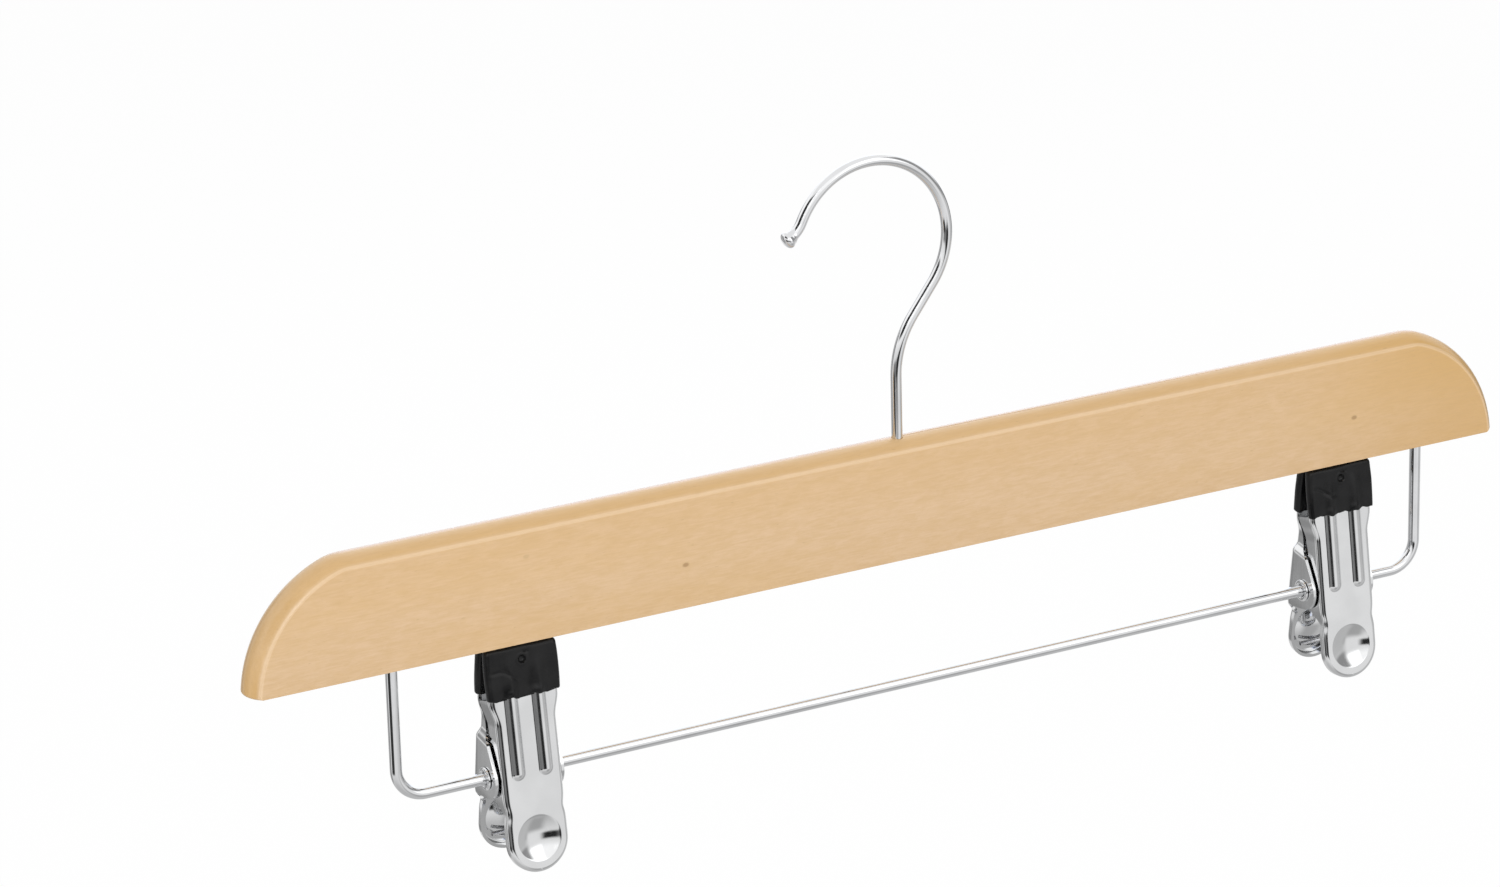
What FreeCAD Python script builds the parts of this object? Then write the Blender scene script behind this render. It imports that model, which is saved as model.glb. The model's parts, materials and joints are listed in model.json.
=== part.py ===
import FreeCAD, Part
import math
import os

from FreeCAD import Vector

# A wooden skirt hanger. Millimetres, +Z up, X along the bar, -Y to the front.
# The origin is where the rail bears under the hook, straight above the stem.

# Wooden bar
bar_length = 355.6
bar_thickness = 10.0
face_height = 28.3          # flat front and back faces, up to their crisp top edge
crown_rise = 2.4            # crest of the rounded top and ends above that edge
crown_sections = 7          # outlines that the crowned bar is drawn through
shoulder_radius = 12.0      # where the straight top starts to fall
shoulder_turn = 20.5
end_radius = 32.0
heel_radius = 0.8           # bottom corner of each end

# Swivel hook
hook_wire = 2.8
stem_rise = 15.8            # straight stem above the bar
sway_radius = 25.0
sway_turn = 37.0
sway_run = 9.3
loop_radius = 21.2
loop_turn = 192.0
flick_radius = 8.0
flick_turn = 35.0
tip_ball = 4.4
tip_neck = 2.0              # length of the flare behind the ball
stem_clearance = 0.06
stem_head = 5.2
stem_head_height = 1.6

# Washer under the bar that holds the hook
washer_outer = 6.6
washer_thickness = 0.8
washer_clearance = 0.08
pocket_depth = 6.0
pocket_clearance = 0.4

# Clip rod
rod_wire = 3.0
left_leg_inset = 38.3       # from each end of the bar to the centreline of its leg
right_leg_inset = 22.3
rod_corner = 7.5
rod_insert = 15.0
rod_fit = 0.03
rod_hole_spare = 1.0        # air left above the end of each leg

# Clips, each at its distance from the nearer leg of the rod
left_clip_inset = 33.0
right_clip_inset = 25.5
swing_clearance = 0.44      # under the bar, as a clip's tip swings past

# Hollow pivot that the rod runs through
pivot_bore_clearance = 0.08
pivot_wall = 0.52
pivot_flange = 5.8
pivot_flange_thickness = 0.6
pivot_end_clearance = 0.1
ear_hole_clearance = 0.05

# Stamped jaws: distances from the pivot's axis, square to the plate or along it
sheet = 0.8
fold_radius = 0.7           # outside the folds, less than the sheet so that the flared edges hold it
plate_stand_off = 7.0       # outer face of the plate
jaw_reach = 32.8            # plate above the axis
jaw_half_width = 9.2
jaw_corner = 2.0
flare_top = 19.0            # the plate is full width above this
flare_bottom = 14.0
lever_half_width = 8.0
lever_centre = 16.2         # round thumb end below the axis
rim_depth = 2.4
rim_start = 8.6             # the rim runs round the lever below this
front_ear_land = 1.25       # metal round the ear's hole
back_ear_land = 3.05
ear_play = 0.5              # between the ears of the two jaws
flange_top = 18.8           # the ears run up the plate's edge to here, under the grip
front_ear_brow = 0.8        # the front ear's free edge at its top, off the axis
front_ear_waist = 1.9       # and where its lobe starts
front_ear_point = 10.5
front_ear_bottom = 11.0
back_ear_brow = 4.6         # the back ear's free edge near its top, off the axis
back_ear_shoulder = 17.0
back_ear_waist = 3.1
back_ear_neck = 10.4
back_ear_tip = 0.8          # where its lobe starts
back_ear_point = 9.4
back_ear_bottom = 7.6
rib_spread = 3.7
rib_width = 3.4
rib_height = 0.9
rib_low_end = 0.6           # below the axis
dish_width = 11.5
dish_depth = 1.5
dish_centre = 15.6

# Dipped grips
grip_low_end = 20.4
grip_cover = 0.6            # over the ribs, and past the plate's edges and tip
grip_pad = 1.1              # on the gripping side
grip_edge = 1.2
grip_gap = 0.4              # between the two grips at their tips, closed

# Torsion springs
spring_wire = 1.1
spring_turns = 3            # full turns, besides the half turn between the legs
spring_turn_gap = 0.5
spring_pivot_clearance = 0.35
spring_foot_place = 19.2    # on the lever, below the axis
spring_foot_reach = 5.0     # past the middle of the clip
spring_foot_clearance = 0.15
spring_bend = 1.6

# Worked out from the sizes above
hook_radius = hook_wire / 2
rod_radius = rod_wire / 2
sway = math.radians(sway_turn)
loop_centre_x = (sway_radius * (1 - math.cos(sway)) + sway_run * math.sin(sway)
                 - loop_radius * math.cos(sway))
loop_centre_rise = (stem_rise + sway_radius * math.sin(sway) + sway_run * math.cos(sway)
                    + loop_radius * math.sin(sway))
seat_rise = math.sqrt((loop_radius - hook_radius) ** 2 - loop_centre_x ** 2)
bar_top = -(loop_centre_rise + seat_rise)
bar_bottom = bar_top - face_height - crown_rise
pocket_roof = bar_bottom + pocket_depth
pivot_bore = rod_radius + pivot_bore_clearance
pivot_radius = pivot_bore + pivot_wall
ear_hole = pivot_radius + ear_hole_clearance
plate_inside = plate_stand_off - sheet
ear_outer = {"front": lever_half_width, "back": lever_half_width + ear_play + sheet}
ear_radius = {"front": ear_hole + front_ear_land, "back": ear_hole + back_ear_land}
ear_corners = {"front": [(front_ear_brow, flange_top), (front_ear_waist, front_ear_point)],
               "back": [(back_ear_brow, back_ear_shoulder), (back_ear_waist, back_ear_neck),
                        (back_ear_tip, back_ear_point)]}
ear_bottom = {"front": front_ear_bottom, "back": back_ear_bottom}
pivot_half = ear_outer["back"] + pivot_end_clearance + pivot_flange_thickness
grip_inside = plate_inside - grip_pad
grip_outside = plate_stand_off + rib_height + grip_cover
grip_reach = jaw_reach + grip_cover
grip_half_width = jaw_half_width + grip_cover
closed_tilt = math.atan2(grip_inside, grip_reach) - math.asin(
    grip_gap / 2 / math.hypot(grip_inside, grip_reach))
rod_drop = math.hypot(grip_outside, grip_reach) + swing_clearance
rod_height = bar_bottom - rod_drop
left_leg = left_leg_inset - bar_length / 2
right_leg = bar_length / 2 - right_leg_inset
clip_places = {"left": left_leg + left_clip_inset, "right": right_leg - right_clip_inset}
rib_radius = (rib_width ** 2 / 4 + rib_height ** 2) / (2 * rib_height)
rib_axis = plate_stand_off + rib_height - rib_radius
dish_radius = (dish_width ** 2 / 4 + dish_depth ** 2) / (2 * dish_depth)
dish_stand_off = plate_stand_off - dish_depth + dish_radius
spring_radius = pivot_radius + spring_pivot_clearance + spring_wire / 2
spring_pitch = spring_wire + spring_turn_gap


def line(start, end):
    return Part.LineSegment(start, end).toShape()


def arc(start, start_direction, end):
    """The arc that leaves start along start_direction and reaches end."""
    chord = end - start
    half = chord.Length / 2
    along = Vector(chord).normalize()
    lean = math.acos(max(-1.0, min(1.0, start_direction.dot(along))))
    side = (start_direction - along * start_direction.dot(along)).normalize()
    middle = (start + end) * 0.5 + side * (half * math.tan(lean / 2))
    return Part.Arc(start, middle, end).toShape()


class FlatPath:
    """A centreline in the XZ plane, drawn with straight runs and bends."""

    def __init__(self, x, z, heading):
        self.place = Vector(x, 0, z)
        self.heading = math.radians(heading)
        self.edges = []

    def direction(self):
        return Vector(math.cos(self.heading), 0, math.sin(self.heading))

    def straight(self, length):
        end = self.place + self.direction() * length
        self.edges.append(line(self.place, end))
        self.place = end

    def bend(self, radius, turn):
        """Turn left by so many degrees, or right where turn is negative."""
        angle = math.radians(turn)
        start_direction = self.direction()
        self.heading += angle / 2
        end = self.place + self.direction() * (2 * radius * math.sin(abs(angle) / 2))
        self.heading += angle / 2
        self.edges.append(arc(self.place, start_direction, end))
        self.place = end


def bent_wire(edges, diameter):
    """A round wire along a path of lines and arcs."""
    first = edges[0]
    start = first.valueAt(first.FirstParameter)
    direction = first.tangentAt(first.FirstParameter)
    section = Part.Wire(Part.makeCircle(diameter / 2, start, direction))
    return Part.Wire(edges).makePipeShell([section], True, False)


def rod_along_x(radius, half_length):
    return Part.makeCylinder(radius, 2 * half_length, Vector(-half_length, 0, 0), Vector(1, 0, 0))


def block(x, y, z):
    """A box between the given pairs of limits."""
    corner = Vector(x[0], y[0], z[0])
    return Part.makeBox(x[1] - x[0], y[1] - y[0], z[1] - z[0], corner)


def bar_outline(y, outset):
    """The bar's outline at one depth, its top and ends set out from the flat face's edge."""
    turn = math.radians(shoulder_turn)
    shoulder_z = face_height - shoulder_radius
    end_z = shoulder_z + (shoulder_radius - end_radius) * math.cos(turn)

    def end_to_heel(grown):
        reach = end_radius + grown - heel_radius
        return math.sqrt(reach ** 2 - (heel_radius - end_z) ** 2)

    end_x = bar_length / 2 - heel_radius - end_to_heel(crown_rise)
    shoulder_x = end_x - (shoulder_radius - end_radius) * math.sin(turn)
    heel_x = end_x + end_to_heel(outset)
    heel_angle = math.atan2(heel_radius - end_z, heel_x - end_x)

    def at(x, z):
        return Vector(x, y, bar_bottom + z)

    top = at(shoulder_x, face_height + outset)
    shoulder = at(shoulder_x + (shoulder_radius + outset) * math.sin(turn),
                  shoulder_z + (shoulder_radius + outset) * math.cos(turn))
    end = at(end_x + (end_radius + outset) * math.cos(heel_angle),
             end_z + (end_radius + outset) * math.sin(heel_angle))
    foot = at(heel_x, 0)
    points = [top, shoulder, end, foot]
    directions = [Vector(1, 0, 0), Vector(math.cos(turn), 0, -math.sin(turn)),
                  Vector(math.sin(heel_angle), 0, -math.cos(heel_angle))]

    def mirrored(point):
        return Vector(-point.x, point.y, point.z)

    right = []
    left = []
    for start, finish, direction in zip(points, points[1:], directions):
        right.append(arc(start, direction, finish))
        left.insert(0, arc(mirrored(start), mirrored(direction), mirrored(finish)))
    edges = [line(mirrored(top), top)] + right + [line(foot, mirrored(foot))] + left
    return Part.Wire(Part.__sortEdges__(edges))


def wood_bar():
    half = bar_thickness / 2
    crown_radius = (half ** 2 + crown_rise ** 2) / (2 * crown_rise)
    outlines = []
    for index in range(crown_sections):
        y = -half + bar_thickness * index / (crown_sections - 1)
        outset = crown_rise - crown_radius + math.sqrt(crown_radius ** 2 - y ** 2)
        outlines.append(bar_outline(y, outset))
    bar = Part.makeLoft(outlines, True, True)
    up = Vector(0, 0, 1)
    stem_hole = Part.makeCylinder(hook_radius + stem_clearance, bar_top - bar_bottom,
                                  Vector(0, 0, bar_bottom), up)
    pocket = Part.makeCylinder(washer_outer / 2 + pocket_clearance, pocket_depth,
                               Vector(0, 0, bar_bottom), up)
    cuts = [stem_hole, pocket]
    for x in (left_leg, right_leg):
        cuts.append(Part.makeCylinder(rod_radius + rod_fit, rod_insert + rod_hole_spare,
                                      Vector(x, 0, bar_bottom), up))
    return bar.cut(cuts)


def hook_washer():
    base = Vector(0, 0, pocket_roof - washer_thickness)
    disc = Part.makeCylinder(washer_outer / 2, washer_thickness, base)
    return disc.cut(Part.makeCylinder(hook_radius + washer_clearance, washer_thickness, base))


def swivel_hook():
    head_top = pocket_roof - washer_thickness - washer_clearance
    path = FlatPath(0, head_top - stem_head_height, 90)
    path.straight(bar_top + stem_rise - path.place.z)
    path.bend(sway_radius, -sway_turn)
    path.straight(sway_run)
    path.bend(loop_radius, loop_turn)
    path.bend(flick_radius, -flick_turn)
    hook = bent_wire(path.edges, hook_wire)
    head = Part.makeCylinder(stem_head / 2, stem_head_height,
                             Vector(0, 0, head_top - stem_head_height))
    ball = Part.makeSphere(tip_ball / 2, path.place)
    flare = Part.makeCone(hook_radius, tip_ball / 2, tip_neck,
                          path.place - path.direction() * tip_neck, path.direction())
    return hook.fuse([head, flare, ball]).removeSplitter()


def clip_rod():
    path = FlatPath(left_leg, bar_bottom + rod_insert, -90)
    path.straight(rod_insert + rod_drop - rod_corner)
    path.bend(rod_corner, 90)
    path.straight(right_leg - left_leg - 2 * rod_corner)
    path.bend(rod_corner, 90)
    path.straight(rod_insert + rod_drop - rod_corner)
    return bent_wire(path.edges, rod_wire)


def pivot_tube():
    tube = rod_along_x(pivot_radius, pivot_half)
    flanges = rod_along_x(pivot_flange / 2, pivot_half)
    between = rod_along_x(pivot_flange, pivot_half - pivot_flange_thickness)
    bore = rod_along_x(pivot_bore, pivot_half)
    return tube.fuse(flanges.cut(between)).cut(bore)


def plate_outline(side):
    """A jaw's flat plate on its outer face: square tip, flared shoulders, round thumb end."""
    def at(x, z):
        return Vector(x, plate_stand_off, z)

    thumb = lever_half_width
    half_width = ear_outer[side]
    right = [at(thumb, -lever_centre), at(thumb, -rim_start), at(half_width, -back_ear_bottom),
             at(half_width, flare_bottom), at(max(half_width, jaw_half_width), flare_top),
             at(jaw_half_width, jaw_reach)]
    left = [at(-point.x, point.z) for point in reversed(right)]
    points = right + left
    edges = [line(start, end) for start, end in zip(points, points[1:])]
    edges.append(Part.Arc(points[-1], at(0, -lever_centre - thumb), points[0]).toShape())
    return Part.Face(Part.Wire(edges))


def lever_rim():
    """The turned-in edge round the lever, open towards the ears."""
    def slab(half_width):
        disc = Part.makeCylinder(half_width, rim_depth, Vector(0, plate_stand_off, -lever_centre),
                                 Vector(0, -1, 0))
        neck = block((-half_width, half_width), (plate_stand_off - rim_depth, plate_stand_off),
                     (-lever_centre, -rim_start))
        return disc.fuse(neck)

    return slab(lever_half_width).cut(slab(lever_half_width - sheet))


def ear(side, outer_face):
    """One side flange: a lobe about the pivot that runs up the plate's edge to the grip."""
    radius = ear_radius[side]

    def at(y, z):
        return Vector(outer_face, y, z)

    def tangent_point(start, way):
        angle = math.atan2(start.z, start.y) + way * math.acos(radius / math.hypot(start.y, start.z))
        return at(radius * math.cos(angle), radius * math.sin(angle))

    top = at(plate_stand_off, flange_top)
    bottom = at(plate_stand_off, -ear_bottom[side])
    free_edge = [top] + [at(y, z) for y, z in ear_corners[side]]
    free_edge.append(tangent_point(free_edge[-1], 1))
    lower = tangent_point(bottom, -1)
    edges = [line(start, end) for start, end in zip(free_edge, free_edge[1:])]
    edges += [Part.Arc(free_edge[-1], at(-radius, 0), lower).toShape(), line(lower, bottom),
              line(bottom, top)]
    return Part.Face(Part.Wire(edges)).extrude(Vector(-sheet, 0, 0))


def ribs():
    """Outer and inner rounds of the two pressed ribs."""
    outer = []
    inner = []
    for x in (-rib_spread, rib_spread):
        low = Vector(x, rib_axis, rib_radius - rib_low_end)
        length = jaw_reach - low.z
        for radius, found in ((rib_radius, outer), (rib_radius - sheet, inner)):
            found.append(Part.makeCylinder(radius, length, low))
            found.append(Part.makeSphere(radius, low))
    return outer, inner


def is_fold(box):
    """Whether an edge with this box runs round the plate's outer face, below its full width."""
    near = sheet / 100
    on_face = box.YMin > plate_stand_off - near and box.YMax < plate_stand_off + near
    at_side = max(-box.XMin, box.XMax) > lever_half_width - near
    return on_face and at_side and box.ZMax < flare_top + near


def jaw(side):
    """One jaw as it stands at the back with its plate upright, the pivot along X."""
    half_width = ear_outer[side]
    plate = plate_outline(side).extrude(Vector(0, -sheet, 0))
    tip_edges = [edge for edge in plate.Edges
                 if edge.BoundBox.ZMin > jaw_reach - sheet / 10 and edge.BoundBox.XLength < sheet / 10]
    plate = plate.makeFillet(jaw_corner, tip_edges)
    rib_rounds, rib_hollows = ribs()
    width = (-jaw_half_width, jaw_half_width)
    height = (-lever_centre - lever_half_width, jaw_reach)
    outside = block(width, (plate_inside, plate_stand_off + rib_height), height)
    inside = block(width, (plate_inside - dish_depth, plate_inside), height)
    dish_place = Vector(0, dish_stand_off, -dish_centre)
    raised = [shape.common(outside) for shape in rib_rounds]
    raised.append(Part.makeSphere(dish_radius + sheet, dish_place).common(inside))
    raised.append(lever_rim())
    raised.append(ear(side, half_width))
    raised.append(ear(side, sheet - half_width))
    hollows = rib_hollows + [Part.makeSphere(dish_radius, dish_place), rod_along_x(ear_hole, half_width)]
    formed = plate.fuse(raised).cut(hollows).removeSplitter()
    return formed.makeFillet(fold_radius, [edge for edge in formed.Edges if is_fold(edge.BoundBox)])


def grip(bare_jaw):
    """The dipped cover over a jaw's tip, filled by the plate."""
    dip = block((-grip_half_width, grip_half_width), (grip_inside, grip_outside),
                (grip_low_end, grip_reach))
    kept_sharp = grip_low_end + grip_edge / 10
    dip = dip.makeFillet(grip_edge, [edge for edge in dip.Edges if edge.BoundBox.ZMax > kept_sharp])
    return dip.cut(bare_jaw)


def biarc(start, start_direction, end, end_direction):
    """Two arcs that join two points smoothly along the given directions."""
    chord = end - start
    both = start_direction + end_direction
    square = 2 * (1 - start_direction.dot(end_direction))
    across = chord.dot(both)
    reach = (math.sqrt(across ** 2 + square * chord.dot(chord)) - across) / square
    middle = (start + start_direction * reach + end - end_direction * reach) * 0.5
    middle_direction = (end - end_direction * reach - start - start_direction * reach).normalize()
    return [arc(start, start_direction, middle), arc(middle, middle_direction, end)]


def print_least_gap(name, points, skipped):
    """Print the least gap between stretches of a wire that are not neighbours."""
    least = min((first - second).Length
                for index, first in enumerate(points) for second in points[index + skipped:])
    print(name, "least gap to itself %.2f mm" % (least - spring_wire))


def spring():
    """A torsion spring round the pivot, its legs pressing the two levers apart."""
    bump_radius = dish_radius + sheet
    bump_offset = spring_foot_place - dish_centre
    bump = dish_stand_off - math.sqrt(bump_radius ** 2 - bump_offset ** 2)
    stand_off = bump - spring_foot_clearance - spring_wire / 2
    foot_y = -(stand_off * math.cos(closed_tilt) + spring_foot_place * math.sin(closed_tilt))
    foot_z = stand_off * math.sin(closed_tilt) - spring_foot_place * math.cos(closed_tilt)
    leg = math.sqrt(foot_y ** 2 + foot_z ** 2 - spring_radius ** 2)
    lean = math.atan2(-leg, -spring_radius) - math.atan2(foot_z, foot_y)
    total = math.pi * (2 * spring_turns + 1) - 2 * lean
    climb = spring_pitch / (2 * math.pi)

    def on_coil(angle):
        x = climb * (angle - lean - total / 2)
        return Vector(x, -spring_radius * math.cos(angle), spring_radius * math.sin(angle))

    def direction(angle):
        ahead = Vector(climb, spring_radius * math.sin(angle), spring_radius * math.cos(angle))
        return ahead.normalize()

    quarters = 4 * spring_turns + 2
    angles = [lean + total * index / quarters for index in range(quarters + 1)]
    coil = []
    for start, end in zip(angles, angles[1:]):
        coil += biarc(on_coil(start), direction(start), on_coil(end), direction(end))

    leg_top = on_coil(lean)
    leg_direction = direction(lean)
    corner = leg_top - leg_direction * (leg / math.hypot(leg_direction.y, leg_direction.z))
    trim = spring_bend * math.tan(math.acos(-leg_direction.x) / 2)
    foot_start = Vector(spring_foot_reach, corner.y, corner.z)
    bend_start = corner + Vector(trim, 0, 0)
    bend_end = corner + leg_direction * trim
    front = [line(foot_start, bend_start), arc(bend_start, Vector(-1, 0, 0), bend_end),
             line(bend_end, leg_top)]

    def turned(point):
        return Vector(-point.x, -point.y, point.z)

    back = [line(turned(leg_top), turned(bend_end)),
            arc(turned(bend_end), turned(leg_direction) * -1, turned(bend_start)),
            line(turned(bend_start), turned(foot_start))]
    edges = front + coil + back
    points = Part.Wire(edges).discretize(Distance=spring_wire / 4)
    print_least_gap("spring", points, 4 * int(math.pi * spring_radius / spring_wire))
    return bent_wire(edges, spring_wire)


def placed(shape, place):
    copy = shape.copy()
    copy.translate(Vector(place, 0, rod_height))
    return copy


def tilted(shape, side):
    """Turn a jaw or grip from upright at the back to its closed place at the front or back."""
    copy = shape.copy()
    centre = Vector(0, 0, 0)
    copy.rotate(centre, Vector(1, 0, 0), math.degrees(closed_tilt))
    if side == "front":
        copy.rotate(centre, Vector(0, 0, 1), 180)
    return copy


def clip_pieces():
    """The pieces of one clip about its own pivot."""
    pieces = {"pivot_tube": pivot_tube(), "spring": spring()}
    for side in ("front", "back"):
        bare_jaw = jaw(side)
        pieces[side + "_jaw"] = tilted(bare_jaw, side)
        pieces[side + "_grip"] = tilted(grip(bare_jaw), side)
    return pieces


def main():
    nodes = {"wood_bar": wood_bar(), "swivel_hook": swivel_hook(),
             "hook_washer": hook_washer(), "clip_rod": clip_rod()}
    pieces = clip_pieces()
    for clip, place in clip_places.items():
        for name, shape in pieces.items():
            nodes[clip + "_" + name] = placed(shape, place)
    os.makedirs("parts", exist_ok=True)
    for name, shape in nodes.items():
        print(name, "solids", len(shape.Solids), "valid", shape.isValid(), "volume %.1f" % shape.Volume)
        shape.exportStep("parts/" + name + ".step")


main()
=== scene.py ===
import bmesh
import bpy
import json
import math
from mathutils import Matrix, Vector, noise


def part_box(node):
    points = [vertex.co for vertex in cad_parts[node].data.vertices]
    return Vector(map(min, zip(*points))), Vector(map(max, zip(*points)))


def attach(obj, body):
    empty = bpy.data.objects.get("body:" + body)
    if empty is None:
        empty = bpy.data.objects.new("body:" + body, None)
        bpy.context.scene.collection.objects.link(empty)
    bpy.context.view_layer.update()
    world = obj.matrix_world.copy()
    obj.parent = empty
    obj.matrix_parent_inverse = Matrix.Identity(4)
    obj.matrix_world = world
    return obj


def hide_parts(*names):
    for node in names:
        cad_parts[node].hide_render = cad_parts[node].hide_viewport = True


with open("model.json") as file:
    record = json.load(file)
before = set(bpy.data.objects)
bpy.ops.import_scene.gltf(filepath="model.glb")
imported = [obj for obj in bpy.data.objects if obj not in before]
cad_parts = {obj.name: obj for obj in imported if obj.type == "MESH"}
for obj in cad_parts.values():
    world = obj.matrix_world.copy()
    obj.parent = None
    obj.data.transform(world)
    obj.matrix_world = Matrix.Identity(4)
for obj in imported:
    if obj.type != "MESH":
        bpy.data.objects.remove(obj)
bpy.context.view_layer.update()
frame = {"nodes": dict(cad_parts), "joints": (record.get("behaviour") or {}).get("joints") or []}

# Lengths are in millimetres until a mesh is made, and named turns are in degrees.
MM = 0.001
joints = {joint["name"]: joint for joint in frame["joints"]}
clip_x = {clip: joints[clip + "_clip_swing"]["pos_m"][0] / MM for clip in ("left", "right")}
rod_z = joints["left_clip_swing"]["pos_m"][2] / MM
bar_low, bar_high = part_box("wood_bar")
bar_bottom = bar_low.z / MM
bar_top = bar_high.z / MM
bar_half = bar_high.x / MM
bar_thickness = (bar_high.y - bar_low.y) / MM

# Points closer than merge_distance become one, and edges shorter than sliver_size are dissolved
merge_distance = 0.0001
sliver_size = 0.001

# Bar
crown_rise = 2.4
crown_strips = 28
shoulder_radius = 12.0
shoulder_turn = 20.5
end_radius = 32.0
heel_radius = 0.8
edge_round = 0.45
edge_angle = 35.0
straight_end = 3.0              # a short step that keeps the shading of the rounds off the long flats
face_height = bar_top - bar_bottom - crown_rise
pocket_radius = 3.7
pocket_depth = 6.0
stem_play = 0.06
leg_play = 0.03
leg_hole_extra = 1.0
overlap = 1.0                   # how far a cutter reaches past what it cuts

# Hook: its head on the washer, its stem, the bends of its wire, and the knob at its tip.
# The steps of the head and the knob are pairs of a length and the radius at its end.
hook_radius = 1.4
washer_thickness = 0.8
washer_play = 0.08
head_height = 1.6
head_foot = 1.9
head_steps = ((0.25, 2.4), (0.2, 2.6), (0.9, 2.6), (0.25, 2.4), (0.0, hook_radius))
stem_rise = 15.8
neck_radius = 25.0
neck_turn = -37
neck_run = 9.3
loop_radius = 21.2
loop_turn = 192
tip_radius = 8.0
tip_turn = -22
flare_turn = -13
flare = 0.5
knob_steps = ((0.25, 2.1), (0.3, 2.2), (0.4, 2.2), (0.35, 2.06), (0.3, 1.8), (0.25, 1.4), (0.15, 0.9))

# Rod
rod_radius = 1.5
rod_low, rod_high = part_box("clip_rod")
legs = (rod_low.x / MM + rod_radius, rod_high.x / MM - rod_radius)
rod_corner = 7.5
rod_insert = 15.0

# Pivots: half of the profile as (x, radius), from the tube's outside over the flange into the bore
pivot_radius = 2.1
pivot_half = 10.0
pivot_lip = [(9.4, pivot_radius), (9.4, 2.7), (9.46, 2.84), (9.6, 2.9), (9.8, 2.86), (9.94, 2.7),
             (pivot_half, 2.45), (pivot_half, 1.95), (9.9, 1.7), (9.7, 1.59)]

# Jaws: heights are above the pivot's axis, and y is measured outwards from it
sheet = 0.8
fold = 1.2                      # outer radius of the sheet's folds
plate = 7.0                     # y of the plate's outer face
jaw_reach = 32.8
tip_margin = 0.6
tip_depth = 1.6
tip_widening = 1.2
lever_half = 8.0
lever_centre = 16.2             # how far the middle of the thumb end lies below the pivot
rim_depth = 2.4
waist = 0.4
waist_z = -8.6
waist_reach = 2.0
back_spread = 1.3               # the back jaw's ears stand this much further out than its lever
ear_hole = 2.15
past_ears = 12.0                # x at which the cutter of the ears' holes ends
ear_radius = {"front": 3.4, "back": 5.2}
# Corners (y, z) of each ear's free edge, from its top to where its lobe starts, and its lower end
ear_corners = {"front": [(0.8, 19.6), (1.9, 10.5)],
               "back": [(7.0, 18.8), (4.9, 17.0), (3.1, 10.4), (0.8, 9.4)]}
ear_bottom = {"front": -11.0, "back": -7.6}

# Heights between which one width or depth of a jaw passes into another
widening_span = (13.5, 19.6)
spread_top_span = (11.2, 8.8)
spread_low_span = (-9.4, -6.8)
rim_span = (-6.5, -9.0)
tip_span = (19.7, 20.5)

# Ribs and thumb dish pressed into the jaws; the softness rounds their edges on the plate
rib_places = (-3.7, 3.7)
rib_radius = 2.055
rib_rise = 0.9
rib_foot = -0.6
rib_fade = (29.0, 25.0)
rib_softness = 0.012
dish_radius = 11.77
dish_depth = 1.5
dish_z = -15.6
dish_softness = 0.004
trace_depth = 0.8               # a form that lies deeper than this under the plate leaves no trace

# Rows and columns of points on a jaw, closer together where the ribs end
tip_rows = 5
tip_row = 2.0
coarse_row = 0.33
fine_row = 0.11
rib_ends = (-1.2, 2.2)
thumb_steps = 30
fold_steps = 7
flange_steps = 10
ribbed_half = 6.4               # half width of the plate's middle, whose columns stay parallel
half_columns = 32
column_margin = 0.3

# Grips
grip_low = 20.4
grip_high = 33.4
grip_inner = 5.1
grip_outer = 7.85
grip_half = 9.45
grip_bulge = 0.4
grip_corner = 1.15
grip_least_corner = 0.12
grip_top_round = 1.5
grip_lip = 0.35
grip_row = 0.3
hem_top = 24.0
hem_waves = ((0.22, 0.95, 1), (0.16, 2.3, 2))       # each one's rise, pace along x and part of the seed
grip_gap = 0.2                  # from the middle plane to the tip of each closed grip
grip_diagonal = math.hypot(grip_inner, grip_high)
closed_tilt = math.atan2(grip_inner, grip_high) - math.asin(grip_gap / grip_diagonal)

# Relief of the dipped skin: over the ribs, beads at their ends, a dot, a slot, swells and a crease
skin_rise = 0.6
skin_width = 1.5
skin_fade = (32.4, 24.0)
bead_rise = 0.22
bead_z = 21.6
bead_width = 1.2
bead_height = 0.8
dot_place = (0.1, 29.6)
dot_depth = 0.75
dot_edge = (1.0, 0.7)
dot_ring_rise = 0.16
dot_ring_radius = 1.3
dot_ring_width = 0.3
slot_place = (-0.9, 31.4)
slot_slope = 0.12
slot_depth = 0.25
slot_width = 0.22
slot_end = (1.1, 0.6)
swell = 0.22
crease_place = (4.0, 26.2)
crease_slope = 0.35
crease_wave = 0.5
crease_depth = 0.3
crease_width = 0.35
crease_ends = ((0.5, 3.5), (9.4, 7.5))
skin_seed = {"left": 3.1, "right": 7.7, "front": 0.0, "back": 11.3}

# Springs
spring_wire = 1.1
spring_play = 0.35
spring_radius = pivot_radius + spring_play + spring_wire / 2
spring_half_turns = 7
coil_pitch = 1.6
foot_drop = 19.2
foot_gap = 0.15
foot_bend = 1.6
foot_half = 5.0
lap_share = 0.999               # the lap of a leg stays inside the coil's wire


def smooth(low, high, value):
    """0 below low, 1 above high, and a smooth rise between them; low may be the larger."""
    share = min(1.0, max(0.0, (value - low) / (high - low)))
    return share * share * (3 - 2 * share)


def mix(a, b, share):
    return a + (b - a) * share


# Meshes

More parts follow.
